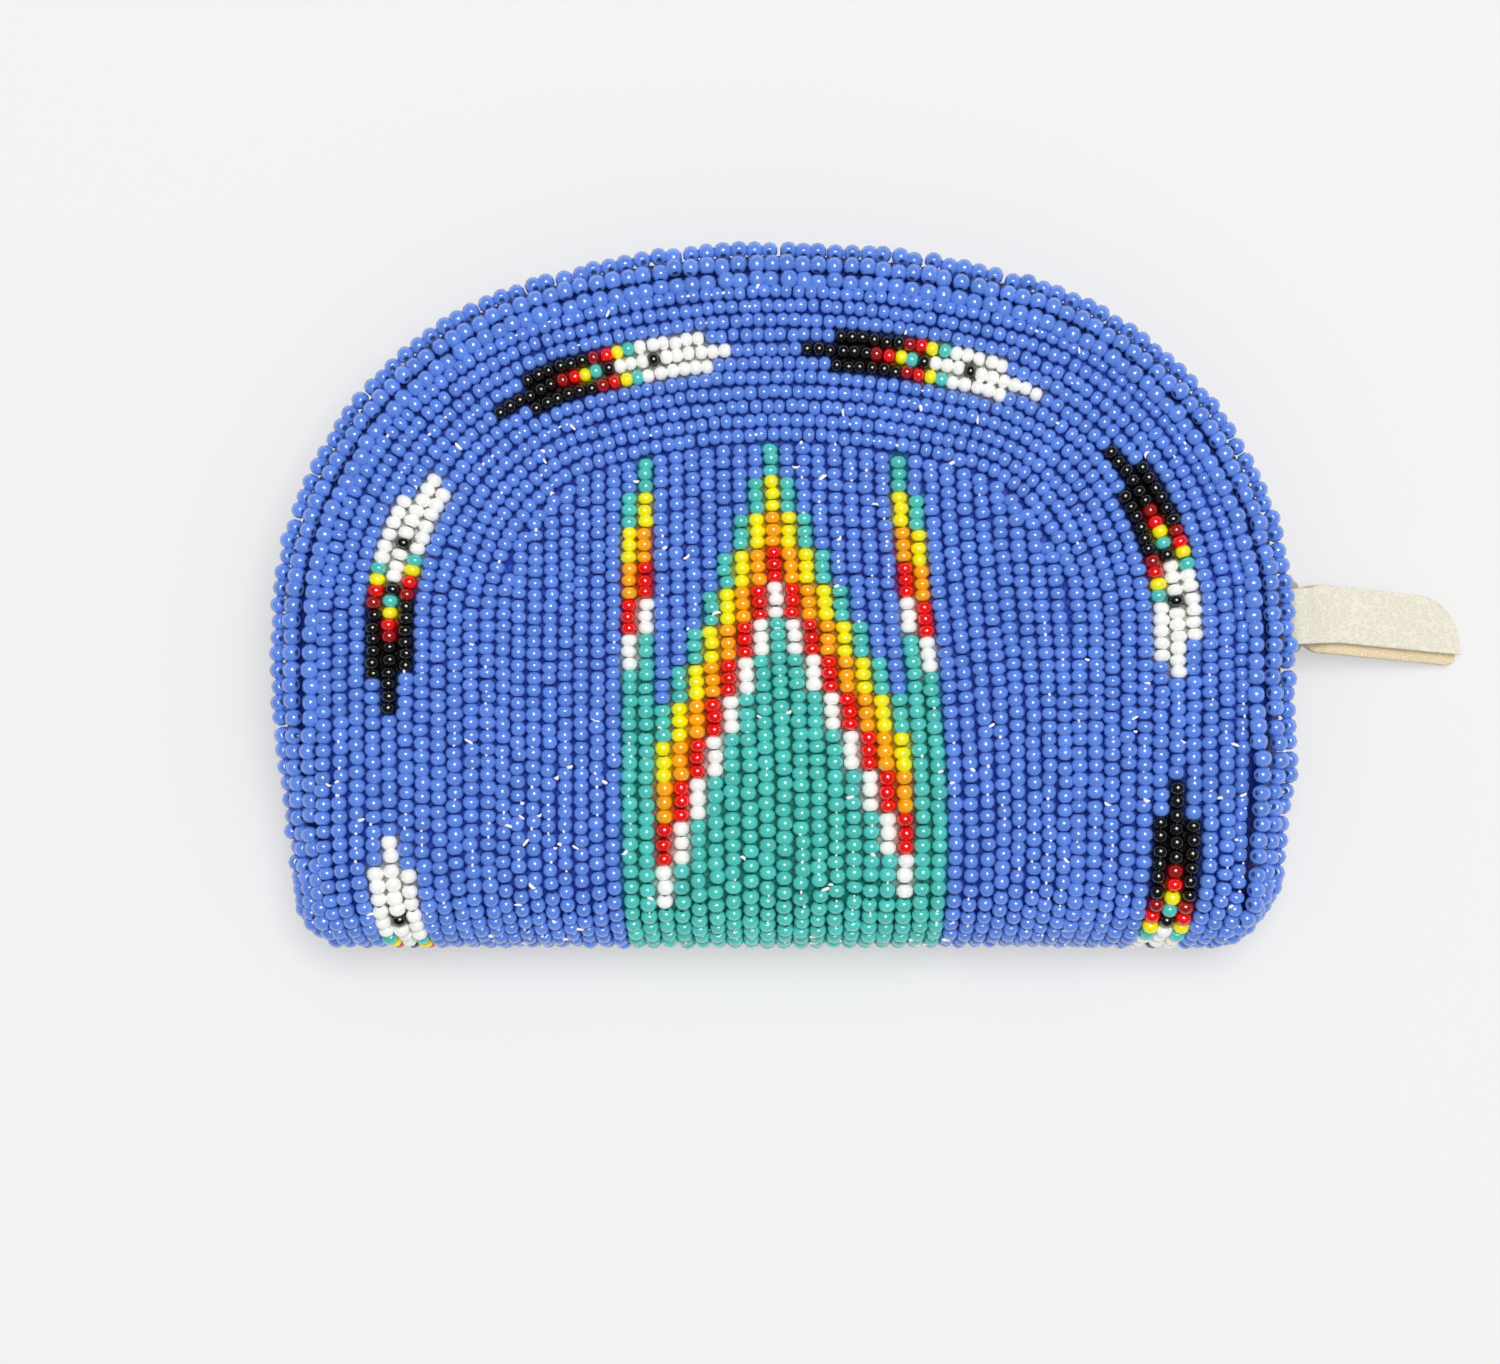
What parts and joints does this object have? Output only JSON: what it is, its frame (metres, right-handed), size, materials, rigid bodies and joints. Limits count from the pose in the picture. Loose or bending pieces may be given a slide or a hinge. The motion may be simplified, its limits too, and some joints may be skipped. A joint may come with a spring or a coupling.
{
  "type": "coin purse",
  "caption": "Half-moon zipped coin purse of folded leather, covered with lanes of sewn glass seed beads that picture a stepped mountain and feathers, with a leather zip pull.",
  "frame": {"origin": "on the table, under the middle of the back of the purse, which lies on its back", "axes": "+X to the right seen from the front, towards the zip pull; +Y from the fold to the crown of the arch; +Z out of the front face"},
  "size_m": [0.1501, 0.0879, 0.0201],
  "materials": {
    "leather": "pebbled cream leather",
    "lining": "plain woven cotton",
    "blue_beads": "opaque glossy glass",
    "turquoise_beads": "opaque glossy glass",
    "white_beads": "opaque glossy glass",
    "black_beads": "opaque glossy glass",
    "red_beads": "opaque glossy glass",
    "orange_beads": "opaque glossy glass",
    "yellow_beads": "opaque glossy glass",
    "zip_tape": "woven tape",
    "zip_teeth": "moulded teeth",
    "metal": "nickel-plated"
  },
  "bodies": {
    "purse": {"leather_shell": "leather", "lining": "lining", "front_edging": "blue_beads", "front_arch_lanes": "blue_beads", "back_edging": "blue_beads", "back_arch_lanes": "blue_beads", "lower_left_feather_tip": "white_beads", "left_feather_tail": "black_beads", "left_feather_band": "red_beads", "left_feather_tip": "white_beads", "upper_left_feather_tail": "black_beads", "upper_left_feather_band": "red_beads", "upper_left_feather_tip": "white_beads", "upper_right_feather_tail": "black_beads", "upper_right_feather_band": "red_beads", "upper_right_feather_tip": "white_beads", "right_feather_tail": "black_beads", "right_feather_band": "red_beads", "right_feather_tip": "white_beads", "lower_right_feather_tail": "black_beads", "lower_right_feather_band": "red_beads", "lower_right_feather_tip": "white_beads", "front_left_columns": "blue_beads", "front_left_tower": "turquoise_beads", "front_right_tower": "turquoise_beads", "front_right_columns": "blue_beads", "turquoise_field": "turquoise_beads", "white_band": "white_beads", "red_band": "red_beads", "orange_band": "orange_beads", "yellow_band": "yellow_beads", "turquoise_band": "turquoise_beads", "upper_columns": "blue_beads", "back_left_columns": "blue_beads", "back_turquoise_columns": "turquoise_beads", "back_right_columns": "blue_beads", "zip_tape_front": "zip_tape", "zip_tape_back": "zip_tape", "zip_teeth_front": "zip_teeth", "zip_teeth_back": "zip_teeth", "top_stop_front": "metal", "top_stop_back": "metal", "bottom_stop": "metal"},
    "slider": {"zip_slider": "metal"},
    "pull": {"leather_pull": "leather"}
  },
  "joints": [
    {"name": "zip_slide", "type": "hinge", "parent": "purse", "child": "slider", "pos_m": [0.01793, 0.00515, 0.0093], "axis": [0, 0, 1], "range_deg": [0, 60]},
    {"name": "pull_swing", "type": "hinge", "parent": "slider", "child": "pull", "pos_m": [0.06434, 0.00718, 0.0093], "axis": [-0.0436, 0.999, 0], "range_deg": [-70, 29]}
  ]
}
